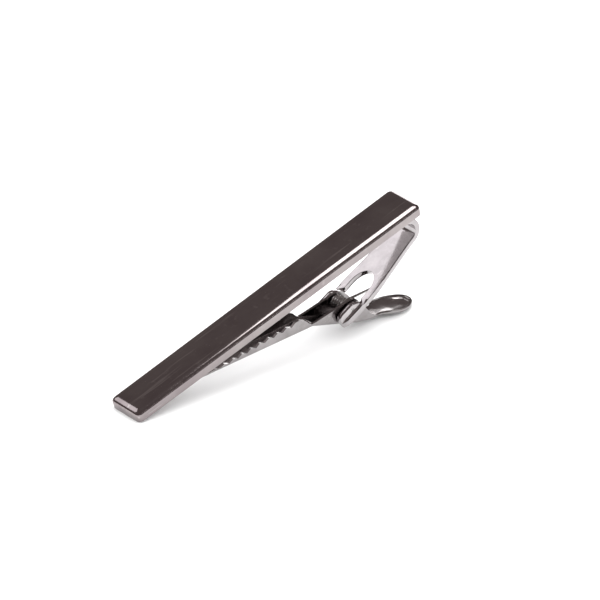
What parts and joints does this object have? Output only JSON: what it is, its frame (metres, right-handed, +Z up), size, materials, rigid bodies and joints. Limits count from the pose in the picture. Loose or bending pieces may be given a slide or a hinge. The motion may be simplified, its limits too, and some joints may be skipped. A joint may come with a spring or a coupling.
{
  "type": "tie bar with sprung alligator clasp",
  "caption": "Slim polished dark metal tie bar with a brazed bridge arm and a toothed, spring-loaded jaw lever that grips the tie and shirt.",
  "frame": {"origin": "bottom centre of the bounding box, on the table that the clip lies on", "axes": "+X from the bar's plain end to its arm end, +Y across the bar, +Z up; the bar rises towards +X because it lies on its plain end and its thumb paddle"},
  "size_m": [0.0572, 0.0074, 0.0189],
  "materials": {
    "gunmetal_bar": "polished dark gunmetal plating over brass, fine wear scratches",
    "gunmetal_arm": "polished dark gunmetal plating over brass",
    "gunmetal_lever": "dark gunmetal plating over stamped brass, a little softer than the bar",
    "braze_filler": "plated solder bead, slightly uneven",
    "steel_pin": "bright plated steel",
    "spring_steel": "bright drawn spring wire"
  },
  "bodies": {
    "frame": {"front_bar": "gunmetal_bar", "bridge_arm": "gunmetal_arm", "braze_seam": "braze_filler", "pivot_pin": "steel_pin", "torsion_spring": "spring_steel"},
    "lever": {"jaw_lever": "gunmetal_lever"}
  },
  "joints": [
    {"name": "jaw_hinge", "type": "hinge", "parent": "frame", "child": "lever", "pos_m": [0.01444, 0, 0.0046], "axis": [0, -1, 0], "range_deg": [0, 32], "stiffness_Nm_per_rad": 0.003, "springref_deg": -60.16, "deforming": ["torsion_spring"]}
  ]
}
